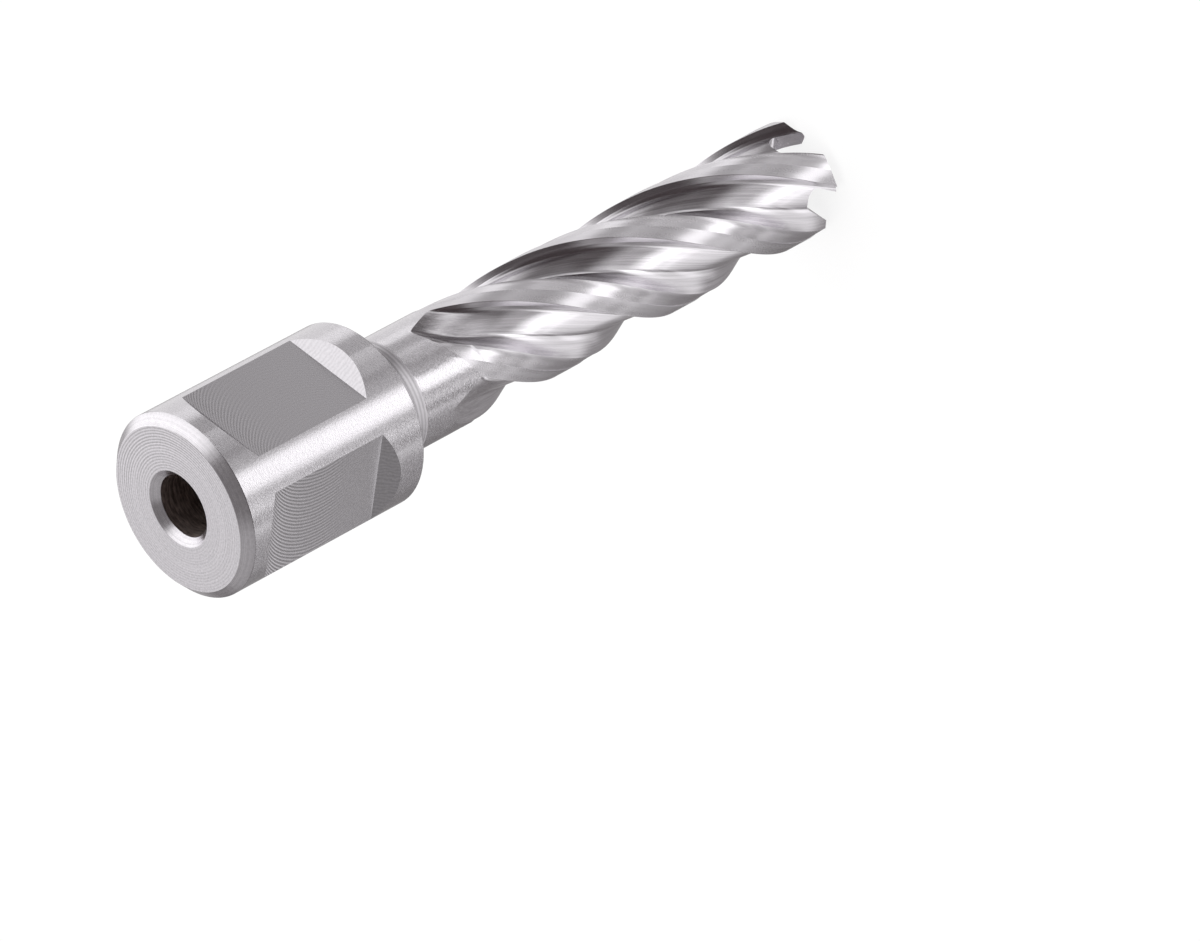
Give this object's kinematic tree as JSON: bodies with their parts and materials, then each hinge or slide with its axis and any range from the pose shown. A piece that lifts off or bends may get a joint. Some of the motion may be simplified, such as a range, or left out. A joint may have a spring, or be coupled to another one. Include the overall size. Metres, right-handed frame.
{
  "type": "annular cutter",
  "caption": "Hollow annular cutter: round shank with clamping flats, slim neck, right-hand helical flutes and gulleted teeth that cut a ring and leave a core.",
  "frame": {"origin": "on the axis, in the plane of the tooth peaks", "axes": "+Z along the axis from the teeth up to the shank end, -X out of one clamping flat, +Y out of the other"},
  "size_m": [0.019, 0.019, 0.085],
  "materials": {
    "steel": "bright ground high-speed steel: turned end face, satin shank and neck, milled flats, polished flutes"
  },
  "bodies": {
    "root": {"cutter_body": "steel"}
  },
  "joints": []
}
